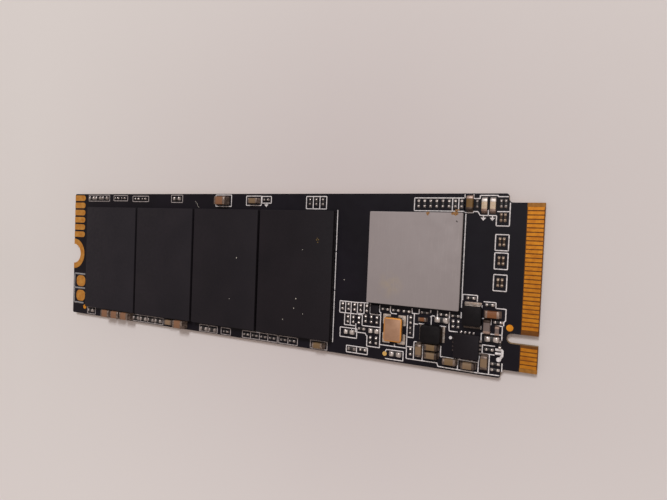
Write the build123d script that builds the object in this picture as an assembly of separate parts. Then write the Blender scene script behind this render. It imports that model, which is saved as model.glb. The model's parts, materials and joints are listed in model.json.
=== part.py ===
"""Gumstick solid state drive: a keyed card-edge board, 22 by 80 mm, with its parts on one side.

Lengths are in millimetres. +X points out of the card edge, +Y across the board and +Z up from it.
The origin lies on the underside, in the middle of the board. The parts on the board sit in columns:
the flash packages start at the screw notch, and the controller and its supply sit by the card edge.
"""

import os
from collections import namedtuple

from build123d import *

# Columns along the board, from the screw notch to the card edge
flash_margin = 4.5
flash_count = 4
flash_width = 12.0
flash_gap = 0.4
bare_length = 5.3
controller_side = 12.0
supply_length = 5.0
tongue_length = 4.0

# Strips across the board, from its far edge to its near one
upper_strip = 2.4
flash_depth = 18.0
lower_strip = 1.6
supply_depth = 7.6

# Bare board
board_thickness = 0.8
corner_radius = 0.3
tongue_width = 19.85
shoulder_step = 1.075
shoulder_radius = 0.5
edge_bevel = 0.1
key_width = 1.2
key_depth = 3.5
mask_clearance = 0.06

# Card-edge contacts: odd pins on the upper face, even pins on the lower one
pin_step = 0.25
middle_pin = 38
upper_pins = (*range(1, 58, 2), *range(67, 76, 2))
lower_pins = (*range(2, 59, 2), *range(68, 75, 2))
key_pins = range(59, 67)
contact_width = 0.38
contact_thickness = 0.04
contact_setback = edge_bevel
upper_contact_length = 1.8
lower_contact_length = 2.3

# Half-round screw notch with a gold land on each face
notch_radius = 1.75
land_radius = 2.75

# Bare gold pads, which stand a little proud of the solder mask
pad_thickness = 0.03
service_pad_count = 6
service_pad_pitch = 1.33
service_pad_width = 1.02
service_pad_length = 2.75
service_pad_inset = 0.75
test_pad_length = 2.3
test_pad_width = 2.0
test_pad_corner = 0.5
fiducial_diameter = 0.8
probe_dot_diameter = 0.6
dot_sides = 12

# Ball-grid packages
ball_height = 0.22
ball_sides = 5
flash_height = 0.78
flash_ball_radius = 0.25
flash_ball_pitch = 1.0
flash_ball_margin_x = 2.0
flash_ball_margin_y = 1.0
controller_height = 0.68
controller_ball_radius = 0.2
controller_ball_pitch = 0.8
controller_ball_margin = 0.8
spreader_height = 0.3
spreader_margin = 0.02
spreader_radius = 0.12

# Supply chip with leads on four sides, and the small monitor chip beside it
regulator_side = 3.0
regulator_height = 0.75
regulator_lift = 0.03
regulator_leads_per_side = 4
lead_pitch = 0.5
lead_width = 0.25
lead_length = 0.42
lead_height = 0.2
lead_toe = 0.25
thermal_pad_side = 1.6
monitor_width = 1.1
monitor_depth = 1.2
monitor_height = 0.5

# Moulded power inductors
inductor_length = 3.2
inductor_width = 2.25
inductor_height = 1.1
inductor_corner = 0.28
inductor_lift = 0.06
clip_thickness = 0.1
clip_toe = 0.28
clip_width = 2.05
clip_height = 0.75

# Crystal in a ceramic tub with a metal lid
crystal_length = 3.2
crystal_width = 2.5
crystal_base_height = 0.45
crystal_notch_radius = 0.25
crystal_lid_height = 0.28
crystal_lid_margin = 0.04
crystal_lid_corner = 0.22
crystal_lid_bevel = 0.12
crystal_pad_length = 1.35
crystal_pad_width = 1.05
crystal_pad_height = 0.1
crystal_pad_overhang = 0.3

# Chip parts, by their size code, with the solder fillet at each end
Chip = namedtuple("Chip", "length width height terminal fillet")
chip_0201 = Chip(length=0.6, width=0.3, height=0.28, terminal=0.12, fillet=0.25)
chip_0402 = Chip(length=1.0, width=0.5, height=0.4, terminal=0.27, fillet=0.25)
chip_0603 = Chip(length=1.6, width=0.8, height=0.8, terminal=0.28, fillet=0.2)
chip_0805 = Chip(length=2.0, width=1.25, height=1.25, terminal=0.35, fillet=0.12)
chip_led = Chip(length=1.6, width=0.7, height=0.5, terminal=0.36, fillet=0.2)
terminal_wall = 0.02
bulk_gap = 0.3
link_pair_pitch = 0.46

# Board outline and faces that the rest is placed from
flash_step = flash_width + flash_gap
flash_length = flash_count * flash_step - flash_gap
board_length = flash_margin + flash_length + bare_length + controller_side + supply_length + tongue_length
board_width = max(
    upper_strip + flash_depth + lower_strip,
    upper_strip + controller_side + supply_depth,
    tongue_width + 2 * shoulder_step,
)
left_end = -board_length / 2
card_edge = board_length / 2
shoulder = card_edge - tongue_length
far_edge = board_width / 2
near_edge = -board_width / 2
top_face = board_thickness

# Package places
flash_start = left_end + flash_margin
flash_y = far_edge - upper_strip - flash_depth / 2
controller_x = shoulder - supply_length - controller_side / 2
controller_y = far_edge - upper_strip - controller_side / 2

# Corners that the smaller parts are measured from
supply_corner = (controller_x + controller_side / 2, controller_y - controller_side / 2)
shoulder_corner = (shoulder, far_edge)
flash_upper_corners = [(flash_start + index * flash_step, far_edge) for index in range(flash_count)]
flash_lower_corners = [(x, flash_y - flash_depth / 2 - lower_strip) for x, _ in flash_upper_corners]

# Places in the supply corner
regulator_place = (0.95, -4.25)
monitor_place = (-11.1, -0.92)
crystal_place = (-8.37, -3.3)
upright_inductor_place = (1.5, -0.43)
level_inductor_place = (-3.37, -3.26)

Placed = namedtuple("Placed", "chip x y upright")


def level(chip, corner, places):
    """Chips lying along the board, at offsets from a corner."""
    return [Placed(chip, corner[0] + x, corner[1] + y, False) for x, y in places]


def upright(chip, corner, places):
    """Chips lying across the board, at offsets from a corner."""
    return [Placed(chip, corner[0] + x, corner[1] + y, True) for x, y in places]


def row(start, pitch, count, y):
    """Evenly spaced places along the board."""
    return [(start + pitch * index, y) for index in range(count)]


# Chips by the circuit that they serve
link_capacitors = [
    chip
    for pair_y in (-2.87, -5.76, -8.0, -10.62)
    for chip in upright(chip_0201, shoulder_corner, row(-0.78, link_pair_pitch, 2, pair_y))
]
upper_resistors = (
    upright(chip_0201, shoulder_corner, row(-10.82, 0.77, 8, -1.3))
    + upright(chip_0201, shoulder_corner, [(-3.6, -1.28)])
    + upright(chip_0201, shoulder_corner, row(-0.82, 0.5, 2, -1.23))
)
header_capacitor = upright(chip_0603, shoulder_corner, [(-4.42, -1.21)])
indicator_leds = upright(chip_led, shoulder_corner, row(-2.73, 0.98, 2, -1.44))
controller_resistors = (
    upright(chip_0201, supply_corner, row(-15.82, 0.89, 5, -0.97))
    + upright(chip_0201, supply_corner, row(-14.96, 0.81, 3, -2.68))
    + upright(chip_0201, supply_corner, row(-12.38, 0.8, 3, -2.38))
    + upright(chip_0201, supply_corner, row(-11.6, 0.82, 2, -5.15))
    + level(chip_0201, supply_corner, [(-9.68, -0.8), (-8.22, -0.8), (-6.8, -0.8), (-12.94, -3.8)])
    + level(chip_0402, supply_corner, [(-11.15, -3.9), (-14.73, -4.45)])
)
clock_resistors = upright(chip_0201, supply_corner, [(-6.2, -1.85), (-6.2, -3.2), (-6.04, -5.92)])
supply_resistors = (
    level(chip_0201, supply_corner, [(-4.42, -0.72), (-2.0, -0.72), (-0.53, -0.72)])
    + upright(chip_0201, supply_corner, row(-0.8, 0.63, 2, -1.73))
    + level(chip_0402, supply_corner, [(-2.21, -1.43), (3.85, -3.07)])
    + upright(chip_0201, supply_corner, [(4.8, -3.6)])
    + level(chip_0201, supply_corner, [(1.2, 1.65), (3.43, 1.02), (4.45, -0.97), (3.6, -4.35)])
    + level(chip_0201, supply_corner, [(4.38, -5.98), (4.38, -6.68)])
)
near_edge_resistors = level(chip_0402, supply_corner, [(-14.25, -6.71), (-8.08, -6.58)]) + level(
    chip_0201, supply_corner, [(-12.61, -6.62)]
)
supply_capacitors = (
    level(chip_0603, supply_corner, [(3.8, -0.05), (-1.0, -6.43), (1.2, -6.6)])
    + level(chip_0603, supply_corner, [(-3.35, -4.96), (-3.35, -6.0)])
    + upright(chip_0603, supply_corner, [(3.1, -5.9), (-4.9, -5.53), (3.25, -1.55)])
    + level(chip_0402, supply_corner, [(-4.65, -1.6)])
    + upright(chip_0402, supply_corner, [(4.4, -1.98)])
)
flash_upper_resistors = (
    level(chip_0402, flash_upper_corners[0], row(0.1, 1.7, 3, -0.75))
    + level(chip_0201, flash_upper_corners[0], row(6.4, 1.6, 2, -0.75))
    + level(chip_0201, flash_upper_corners[1], row(-1.1, 1.6, 2, -0.85))
    + level(chip_0402, flash_upper_corners[1], [(7.9, -0.8)])
    + level(chip_0201, flash_upper_corners[3], [(0.42, -0.9)])
    + upright(chip_0201, flash_upper_corners[3], row(7.78, 1.02, 3, -1.17))
)
flash_upper_capacitors = level(chip_0805, flash_upper_corners[2], [(4.94, -1.1)]) + level(
    chip_0603, flash_upper_corners[3], [(-1.65, -1.08)]
)
flash_lower_resistors = (
    level(chip_0402, flash_lower_corners[0], [(0.5, 0.85)])
    + level(chip_0402, flash_lower_corners[1], row(-0.5, 1.7, 4, 0.72))
    + level(chip_0402, flash_lower_corners[2], row(1.9, 1.7, 2, 0.62))
    + level(chip_0201, flash_lower_corners[2], [(6.2, 0.65)])
    + level(chip_0201, flash_lower_corners[3], row(-2.35, 1.55, 4, 0.7))
    + level(chip_0201, flash_lower_corners[3], row(4.2, 1.5, 2, 0.72))
)
flash_lower_capacitors = level(chip_0603, flash_lower_corners[1], [(7.3, 0.85)]) + level(
    chip_0603, flash_lower_corners[3], [(10.05, 0.75)]
)
bulk_pitch = chip_0805.length + bulk_gap
bulk_capacitors = level(chip_0805, flash_lower_corners[1], row(-7.05, bulk_pitch, 3, 0.85)) + level(
    chip_0805, flash_lower_corners[1], [(9.7, 0.85)]
)

# Bare pads, measured from the board's corners
test_pad_places = [(left_end + 2.0, near_edge + 6.0), (left_end + 2.0, near_edge + 3.3)]
fiducial_places = [(left_end + 3.2, near_edge + 1.3), (shoulder + 0.8, near_edge + 6.12)]
probe_dot_places = [(supply_corner[0] - 9.54, supply_corner[1] - 6.7)]


def pin_y(pin):
    """Place of a contact across the board: pin 1 lies at the far edge."""
    return (middle_pin - pin) * pin_step


def raised(sketch, bottom, height):
    """A flat shape pulled up from a height."""
    return Pos(0, 0, bottom) * extrude(sketch, height)


def service_pad_outlines():
    """Pads that start at the board's end and finish in a half circle."""
    straight = service_pad_length - service_pad_width / 2
    first_y = far_edge - service_pad_inset
    return [
        Pos(left_end + straight / 2, first_y - index * service_pad_pitch)
        * (Rectangle(straight, service_pad_width) + Pos(straight / 2, 0) * Circle(service_pad_width / 2))
        for index in range(service_pad_count)
    ]


def test_pad_outlines():
    """Two eight-sided pads below the screw notch."""
    pad = chamfer(Rectangle(test_pad_length, test_pad_width).vertices(), test_pad_corner)
    return [Pos(*place) * pad for place in test_pad_places]


def dot_outlines():
    """Round camera targets and a smaller probe dot."""
    target = RegularPolygon(fiducial_diameter / 2, dot_sides)
    probe = RegularPolygon(probe_dot_diameter / 2, dot_sides)
    return [Pos(*place) * target for place in fiducial_places] + [
        Pos(*place) * probe for place in probe_dot_places
    ]


def board_outline():
    """The board with its narrower tongue, key slot and half-round screw notch."""
    body_length = board_length - tongue_length
    body = Pos(left_end + body_length / 2, 0) * RectangleRounded(body_length, board_width, corner_radius)
    tongue = Pos(shoulder, 0) * Rectangle(2 * tongue_length, tongue_width)
    outline = body + tongue
    at_shoulder = outline.vertices().group_by(Axis.X)[-2]
    inner_corners = sorted(at_shoulder, key=lambda corner: abs(corner.Y))[:2]
    outline = fillet(inner_corners, shoulder_radius)
    key_y = (pin_y(key_pins[0]) + pin_y(key_pins[-1])) / 2
    key_root = card_edge - key_depth + key_width / 2
    key = Pos((key_root + card_edge) / 2, key_y) * Rectangle(card_edge - key_root, key_width)
    key += Pos(key_root, key_y) * Circle(key_width / 2)
    notch = Pos(left_end, 0) * Circle(notch_radius)
    return outline - key - notch


def contact_ledge(length, bottom):
    """Room for the contacts, where the solder mask ends short of the card edge."""
    ledge_length = contact_setback + length + mask_clearance
    return Pos(card_edge - ledge_length / 2, 0, bottom + contact_thickness / 2) * Box(
        ledge_length, board_width, contact_thickness
    )


def make_board():
    """Bare board, cut back one plating deep where the contacts and the lower screw land lie."""
    board = extrude(board_outline(), board_thickness)
    board -= contact_ledge(upper_contact_length, top_face - contact_thickness)
    board -= contact_ledge(lower_contact_length, 0)
    board -= raised(Pos(left_end, 0) * Circle(land_radius + mask_clearance), 0, pad_thickness)
    end_edges = board.edges().filter_by(Axis.Y).group_by(Axis.X)[-1]
    return chamfer(end_edges, edge_bevel)


def make_contacts(pins, length, bottom):
    """One row of card-edge contacts."""
    x = card_edge - contact_setback - length / 2
    z = bottom + contact_thickness / 2
    return [Pos(x, pin_y(pin), z) * Box(length, contact_width, contact_thickness) for pin in pins]


def make_screw_lands():
    """Half rings of gold round the screw notch, on the upper face and sunk in the lower one."""
    half_board = Pos(left_end + land_radius, 0) * Rectangle(2 * land_radius, 2 * land_radius)
    ring = Pos(left_end, 0) * (Circle(land_radius) - Circle(notch_radius))
    return make_pads([ring & half_board]) + [raised(ring & half_board, 0, pad_thickness)]


def make_pads(outlines):
    """Gold pads on the board's upper face."""
    return [raised(outline, top_face, pad_thickness) for outline in outlines]


def balls_across(side, margin, pitch):
    """How many solder balls fit along one side of a package."""
    return 1 + round((side - 2 * margin) / pitch)


def ring_places(columns, rows, pitch):
    """Places of a grid's outermost row all round."""
    return [
        ((column - (columns - 1) / 2) * pitch, (line - (rows - 1) / 2) * pitch)
        for column in range(columns)
        for line in range(rows)
        if column in (0, columns - 1) or line in (0, rows - 1)
    ]


def make_balls(x, y, radius, places):
    """Solder balls in the outer row of a grid, where they show under a package."""
    ball = extrude(RegularPolygon(radius, ball_sides), ball_height)
    return [Pos(x + dx, y + dy, top_face) * ball for dx, dy in places]


def standing_box(x, y, bottom, size):
    """A block that stands on a height."""
    return Pos(x, y, bottom + size[2] / 2) * Box(*size)


def make_spreader():
    """Metal plate on the controller, with rounded corners."""
    side = controller_side - 2 * spreader_margin
    plate = Pos(controller_x, controller_y) * RectangleRounded(side, side, spreader_radius)
    return raised(plate, top_face + ball_height + controller_height, spreader_height)


def wedge(start, end, toe, width, height):
    """A bar along X whose end slopes out to a toe at the bottom."""
    side = Polyline((start, 0), (end + toe, 0), (end, height), (start, height), close=True)
    return extrude(Plane.XZ * make_face(side), width / 2, both=True)


def lead_places():
    """Leads on the four sides of the supply chip, about its own centre."""
    end = regulator_side / 2
    lead = wedge(end - lead_length, end, lead_toe, lead_width, lead_height)
    middle = (regulator_leads_per_side - 1) / 2
    side = [Pos(0, (index - middle) * lead_pitch) * lead for index in range(regulator_leads_per_side)]
    return [Rot(0, 0, quarter * 90) * lead for quarter in range(4) for lead in side]


def make_regulator():
    """Moulded body, its leads with their solder, and the thermal pad under it."""
    seat = Pos(supply_corner[0] + regulator_place[0], supply_corner[1] + regulator_place[1], top_face)
    leads = lead_places()
    body_size = (regulator_side, regulator_side, regulator_height - regulator_lift)
    body = standing_box(0, 0, regulator_lift, body_size) - leads
    pad = standing_box(0, 0, 0, (thermal_pad_side, thermal_pad_side, regulator_lift))
    return seat * body, [seat * lead for lead in [*leads, pad]]


def make_inductor(place, turn):
    """Moulded core with a metal clip at each end, soldered down in a slope."""
    core_length = inductor_length - 2 * (clip_thickness + clip_toe)
    outline = chamfer(Rectangle(core_length, inductor_width).vertices(), inductor_corner)
    core = raised(outline, inductor_lift, inductor_height - inductor_lift)
    clip = wedge(core_length / 2, core_length / 2 + clip_thickness, clip_toe, clip_width, clip_height)
    seat = Pos(supply_corner[0] + place[0], supply_corner[1] + place[1], top_face) * Rot(0, 0, turn)
    return seat * core, [seat * clip, seat * Rot(0, 0, 180) * clip]


def make_crystal():
    """Ceramic tub with notched corners, its metal lid, and the solder lands under it."""
    seat = Pos(supply_corner[0] + crystal_place[0], supply_corner[1] + crystal_place[1], top_face)
    tub = Rectangle(crystal_width, crystal_length)
    corners = [(x, y) for x in (-1, 1) for y in (-1, 1)]
    for x, y in corners:
        tub -= Pos(x * crystal_width / 2, y * crystal_length / 2) * Circle(crystal_notch_radius)
    base = raised(tub, crystal_pad_height, crystal_base_height)
    lid_width = crystal_width - 2 * crystal_lid_margin
    lid_length = crystal_length - 2 * crystal_lid_margin
    lid_outline = chamfer(Rectangle(lid_width, lid_length).vertices(), crystal_lid_corner)
    lid = raised(lid_outline, crystal_pad_height + crystal_base_height, crystal_lid_height)
    lid = chamfer(lid.faces().sort_by(Axis.Z)[-1].edges(), crystal_lid_bevel)
    pad_size = (crystal_pad_width, crystal_pad_length, crystal_pad_height)
    pad_x = crystal_width / 2 + crystal_pad_overhang - crystal_pad_width / 2
    pad_y = crystal_length / 2 + crystal_pad_overhang - crystal_pad_length / 2
    pads = [standing_box(x * pad_x, y * pad_y, 0, pad_size) for x, y in corners]
    return seat * base, seat * lid, [seat * pad for pad in pads]


def make_chip(placed):
    """A chip's ceramic body, and the metal caps on its two ends with their solder fillets."""
    chip = placed.chip
    seat = Pos(placed.x, placed.y, top_face) * Rot(0, 0, 90 if placed.upright else 0)
    body_length = chip.length - 2 * chip.terminal
    body_size = (body_length, chip.width - 2 * terminal_wall, chip.height - 2 * terminal_wall)
    body = seat * standing_box(0, 0, terminal_wall, body_size)
    cap = wedge(body_length / 2, chip.length / 2, chip.fillet, chip.width, chip.height)
    return body, [seat * cap, seat * Rot(0, 0, 180) * cap]


def make_chips(placed_chips):
    """Bodies and end caps of a group of chips."""
    made = [make_chip(placed) for placed in placed_chips]
    return [body for body, _ in made], [cap for _, caps in made for cap in caps]


def make_nodes():
    """Every node's name and its solid or solids."""
    package_floor = top_face + ball_height
    nodes = {
        "pcb_board": make_board(),
        "upper_edge_contacts": make_contacts(
            upper_pins, upper_contact_length, top_face - contact_thickness
        ),
        "lower_edge_contacts": make_contacts(lower_pins, lower_contact_length, 0),
        "screw_notch_lands": make_screw_lands(),
        "service_pads": make_pads(service_pad_outlines()),
        "test_pads": make_pads(test_pad_outlines()),
        "fiducial_dots": make_pads(dot_outlines()),
    }
    flash_balls = ring_places(
        balls_across(flash_width, flash_ball_margin_x, flash_ball_pitch),
        balls_across(flash_depth, flash_ball_margin_y, flash_ball_pitch),
        flash_ball_pitch,
    )
    flash_size = (flash_width, flash_depth, flash_height)
    for index in range(flash_count):
        x = flash_start + flash_width / 2 + index * flash_step
        number = index + 1
        nodes[f"flash_package_{number}"] = standing_box(x, flash_y, package_floor, flash_size)
        nodes[f"flash_balls_{number}"] = make_balls(x, flash_y, flash_ball_radius, flash_balls)
    controller_size = (controller_side, controller_side, controller_height)
    nodes["controller_package"] = standing_box(controller_x, controller_y, package_floor, controller_size)
    nodes["controller_heat_spreader"] = make_spreader()
    ball_rows = balls_across(controller_side, controller_ball_margin, controller_ball_pitch)
    nodes["controller_balls"] = make_balls(
        controller_x,
        controller_y,
        controller_ball_radius,
        ring_places(ball_rows, ball_rows, controller_ball_pitch),
    )
    nodes["regulator_body"], nodes["regulator_leads"] = make_regulator()
    nodes["monitor_chip"] = standing_box(
        supply_corner[0] + monitor_place[0],
        supply_corner[1] + monitor_place[1],
        top_face,
        (monitor_width, monitor_depth, monitor_height),
    )
    for name, place, turn in (
        ("upright_inductor", upright_inductor_place, 90),
        ("level_inductor", level_inductor_place, 0),
    ):
        nodes[f"{name}_core"], nodes[f"{name}_clips"] = make_inductor(place, turn)
    nodes["crystal_base"], nodes["crystal_lid"], nodes["crystal_lands"] = make_crystal()
    for name, group in (
        ("link_capacitor", link_capacitors),
        ("supply_capacitor", supply_capacitors),
        ("header_capacitor", header_capacitor),
        ("bulk_capacitor", bulk_capacitors),
        ("flash_upper_capacitor", flash_upper_capacitors),
        ("flash_lower_capacitor", flash_lower_capacitors),
        ("upper_resistor", upper_resistors),
        ("controller_resistor", controller_resistors),
        ("clock_resistor", clock_resistors),
        ("supply_resistor", supply_resistors),
        ("near_edge_resistor", near_edge_resistors),
        ("flash_upper_resistor", flash_upper_resistors),
        ("flash_lower_resistor", flash_lower_resistors),
        ("indicator_led", indicator_leds),
    ):
        nodes[f"{name}_bodies"], nodes[f"{name}_caps"] = make_chips(group)
    return nodes


def main():
    os.makedirs("parts", exist_ok=True)
    for name, solids in make_nodes().items():
        shape = Compound(children=solids) if isinstance(solids, list) else solids
        export_step(shape, f"parts/{name}.step")


main()
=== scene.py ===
import functools
import json
import math
from collections import namedtuple

import bmesh
import bpy
from mathutils import Matrix, Vector

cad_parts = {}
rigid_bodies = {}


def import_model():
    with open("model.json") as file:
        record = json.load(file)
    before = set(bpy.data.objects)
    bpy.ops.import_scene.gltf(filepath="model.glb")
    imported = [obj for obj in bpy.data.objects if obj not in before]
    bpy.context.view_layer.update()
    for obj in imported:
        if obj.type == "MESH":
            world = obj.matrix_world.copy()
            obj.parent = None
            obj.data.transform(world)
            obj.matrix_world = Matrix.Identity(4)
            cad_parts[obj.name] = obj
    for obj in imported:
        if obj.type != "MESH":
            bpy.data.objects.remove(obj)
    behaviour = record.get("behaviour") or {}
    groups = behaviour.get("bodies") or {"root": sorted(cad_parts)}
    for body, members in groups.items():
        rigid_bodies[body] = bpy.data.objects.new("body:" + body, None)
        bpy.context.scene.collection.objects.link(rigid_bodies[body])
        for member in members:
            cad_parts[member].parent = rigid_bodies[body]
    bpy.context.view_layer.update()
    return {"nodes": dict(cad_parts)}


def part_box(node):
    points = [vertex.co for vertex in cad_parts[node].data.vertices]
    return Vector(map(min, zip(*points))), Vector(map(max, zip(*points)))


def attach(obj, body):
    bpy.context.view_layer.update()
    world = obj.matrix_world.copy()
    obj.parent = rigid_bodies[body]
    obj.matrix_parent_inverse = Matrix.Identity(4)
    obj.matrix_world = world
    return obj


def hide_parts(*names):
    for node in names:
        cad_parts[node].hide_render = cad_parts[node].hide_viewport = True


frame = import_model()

MM = 0.001


def box_of(node):
    """A node's lowest and highest corner."""
    low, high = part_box(node)
    return low / MM, high / MM


def middle_of(box):
    """The middle of a box."""
    return (box[0] + box[1]) / 2


BOARD_END = box_of("pcb_board")[0].x
BOARD_TOP = box_of("pcb_board")[1].z
FLASH_TOP = box_of("flash_package_4")[1].z
LID_TOP = box_of("controller_heat_spreader")[1].z

# Chip sizes: the solids have the first five, and are told apart by their height
Chip = namedtuple("Chip", "length width height terminal fillet")
CHIP_SIZES = [
    Chip(0.6, 0.3, 0.28, 0.12, 0.25),
    Chip(1.08, 0.54, 0.4, 0.28, 0.26),
    Chip(1.6, 0.7, 0.5, 0.36, 0.2),
    Chip(1.6, 0.8, 0.8, 0.28, 0.2),
    Chip(2.0, 1.25, 1.25, 0.35, 0.12),
    Chip(1.0, 0.5, 0.4, 0.22, 0.12),
    Chip(1.16, 0.62, 0.42, 0.42, 0.3),
]
SOLID_SIZES = 5
SMALL_RESISTOR = 1
SMALL_CAPACITOR = 5
FULL_BEADS = 6
BEADED_BELOW = 0.5

CAPACITORS = [
    f"{place}_capacitor" for place in ("link", "supply", "header", "bulk", "flash_upper", "flash_lower")
]
RESISTORS = [
    f"{place}_resistor"
    for place in ("upper", "controller", "clock", "supply", "near_edge", "flash_upper", "flash_lower")
]


# Nodes, for finishes and for copies


def add_node(tree, kind, inputs, output=0, **settings):
    """Adds a node and gives one of its outputs; each input is fed from a socket or set to a value."""
    node = tree.nodes.new(kind)
    for name, value in settings.items():
        setattr(node, name, value)
    for name, value in inputs.items():
        if isinstance(value, bpy.types.NodeSocket):
            tree.links.new(value, node.inputs[name])
        else:
            node.inputs[name].default_value = value
    return node.outputs[output]


def shade(red, green, blue):
    """A screen colour as a shader takes it."""
    channels = [value / 255 for value in (red, green, blue)]
    linear = [c / 12.92 if c <= 0.04045 else ((c + 0.055) / 1.055) ** 2.4 for c in channels]
    return (*linear, 1.0)


# Finishes

PATCHES = (0.3, 0.7)  # the middle of a noise, between which its patches differ


class Finish:
    """One procedural material, read in the object's own place."""

    def __init__(self, name, metallic=0.0, specular=0.5):
        self.material = bpy.data.materials.new(name)
        self.material.use_nodes = True
        self.tree = self.material.node_tree
        self.shader = self.tree.nodes["Principled BSDF"]
        self.shader.inputs["Metallic"].default_value = metallic
        self.shader.inputs["Specular IOR Level"].default_value = specular
        self.place = self.add("TexCoord", {}, "Object")

    def add(self, kind, inputs, output=0, **settings):
        return add_node(self.tree, "ShaderNode" + kind, inputs, output, **settings)

    def feed(self, source, name):
        self.tree.links.new(source, self.shader.inputs[name])

    def colour(self, source):
        self.feed(source, "Base Color")

    def noise(self, grain, detail=3.0, stretch=(1.0, 1.0, 1.0)):
        """Noise in cells about grain across, which may be stretched."""
        scale = [1 / (grain * MM * along) for along in stretch]
        place = self.add("Mapping", {"Scale": scale, "Vector": self.place})
        return self.add("TexNoise", {"Scale": 1.0, "Detail": detail, "Vector": place})

    def cells(self, grain):
        """Distance to the nearest of points scattered about grain apart."""
        return self.add("TexVoronoi", {"Scale": 1 / (grain * MM), "Vector": self.place})

    def ramp(self, amount, *stops):
        """Colours along an amount, each stop a position and a colour."""
        ramp = self.add("ValToRGB", {"Fac": amount})
        elements = ramp.node.color_ramp.elements
        while len(elements) < len(stops):
            elements.new(0.5)
        for element, (position, colour) in zip(elements, stops):
            element.position = position
            element.color = shade(*colour)
        return ramp

    def mottle(self, grain, detail, dull, bright):
        """Two colours in patches about grain across."""
        return self.ramp(self.noise(grain, detail), *zip(PATCHES, (dull, bright)))

    def span(self, amount, low, high, start=0.0, end=1.0):
        """An amount moved from one range to another and held inside it."""
        ends = {"From Min": low, "From Max": high, "To Min": start, "To Max": end}
        return self.add("MapRange", {"Value": amount, **ends})

    def calc(self, operation, first, second=0.0):
        """One sum on an amount."""
        return self.add("Math", {0: first, 1: second}, operation=operation)

    def blend(self, amount, *colours):
        """Two colours mixed by an amount; each is a colour or a socket."""
        first, second = [shade(*value) if isinstance(value, tuple) else value for value in colours]
        return self.add("Mix", {0: amount, 6: first, 7: second}, 2, data_type="RGBA")

    def axis(self, letter):
        """One coordinate of the place, in metres."""
        return self.add("SeparateXYZ", {"Vector": self.place}, letter)

    def off(self, letter, middle):
        """Distance along one axis from a middle, both in metres."""
        return self.calc("ABSOLUTE", self.calc("ADD", self.axis(letter), -middle))

    def upward(self):
        """How far a face looks up or down, from 0 on a wall to 1 on a level face."""
        normal = self.add("NewGeometry", {}, "Normal")
        return self.calc("ABSOLUTE", self.add("SeparateXYZ", {"Vector": normal}, "Z"))

    def near(self, x, y, inner, outer):
        """1 within inner of a point in plan, fading to 0 at outer."""
        plan = {0: self.place, 1: (1.0, 1.0, 0.0)}
        flat = self.add("VectorMath", plan, operation="MULTIPLY")
        ends = {0: flat, 1: (x * MM, y * MM, 0.0)}
        away = self.add("VectorMath", ends, "Value", operation="DISTANCE")
        return self.span(away, inner * MM, outer * MM, 1.0, 0.0)

    def tint(self, full=1.0):
        """The number that a copy carries, from 0 to 1 as it goes from 0 to full."""
        return self.span(self.add("Attribute", {}, "Fac", attribute_name="tint"), 0.0, full)

    def roughen(self, noise, smooth, rough):
        """Roughness that goes from smooth to rough with a noise."""
        self.feed(self.span(noise, *PATCHES, smooth, rough), "Roughness")

    def relief(self, height, depth, strength):
        """Bumps up to depth deep, by a height."""
        inputs = {"Distance": depth * MM, "Strength": strength, "Height": height}
        self.feed(self.add("Bump", inputs), "Normal")

    def finished(self, rough, bumps):
        """The material, roughened and bumped by noises, each a grain and two values."""
        self.roughen(self.noise(rough[0]), *rough[1:])
        self.relief(self.noise(bumps[0]), *bumps[1:])
        return self.material


def board_finish():
    """Black solder mask over glass weave, tan laminate on the cut edges, gold in the notch, and painted
    shade on the bare laminate between the contacts.
    """
    paint = Finish("black_solder_mask", specular=0.14)
    mask = paint.mottle(9, 4, (15, 12, 18), (22, 18, 26))
    layers = paint.noise(0.09, 2, (40, 40, 1))
    laminate = paint.ramp(layers, (0.35, (96, 72, 40)), (0.55, (150, 118, 72)), (0.7, (178, 150, 100)))
    margin = paint.mottle(0.4, 3, (132, 86, 34), (160, 108, 46))
    # painted shade: the bare laminate between the contacts is darker than at the margins
    gap = paint.mottle(0.4, 3, (92, 53, 17), (114, 68, 25))
    outer_contact = 9.42
    beside = paint.span(paint.off("Y", 0), outer_contact * MM, (outer_contact + 0.06) * MM)
    bare = paint.blend(beside, gap, margin)
    gold = paint.mottle(0.5, 3, (150, 98, 40), (206, 148, 72))
    half = BOARD_TOP / 2
    covered = paint.span(paint.off("Z", half * MM), (half - 0.02) * MM, (half - 0.01) * MM)
    notch_wall = 1.78
    notch = paint.near(BOARD_END, 0, notch_wall, notch_wall + 0.01)
    face = paint.blend(covered, bare, mask)
    edge = paint.blend(notch, laminate, gold)
    paint.colour(paint.blend(paint.span(paint.upward(), 0.4, 0.6), edge, face))
    wall = paint.span(paint.upward(), 0.4, 0.6, 1, 0)
    paint.feed(paint.calc("MULTIPLY", wall, notch), "Metallic")
    paint.roughen(paint.noise(1.3, 4), 0.36, 0.5)
    strands = [paint.noise(0.22, 1, stretch) for stretch in ((4, 1, 1), (1, 4, 1))]
    paint.relief(paint.calc("MAXIMUM", *strands), 0.006, 0.35)
    return paint.material


def mould_finish():
    """Charcoal mould compound with a fine sparkle, faintly cloudy, and painted shade that darkens it
    towards +X.
    """
    paint = Finish("charcoal_mould", specular=0.13)
    pale = paint.mottle(5, 4, (35, 32, 37), (41, 37, 42))
    dark = paint.mottle(5, 4, (22, 18, 22), (27, 22, 26))
    # painted shade: the mould is blended from the paler to the darker colour towards +X
    base = paint.blend(paint.span(paint.axis("X"), -36 * MM, 13 * MM), pale, dark)
    grain = paint.span(paint.noise(0.045, 2), 0.62, 0.78)
    paint.colour(paint.blend(grain, base, (52, 46, 50)))
    return paint.finished((0.6, 0.5, 0.66), (0.06, 0.006, 0.5))


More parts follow.
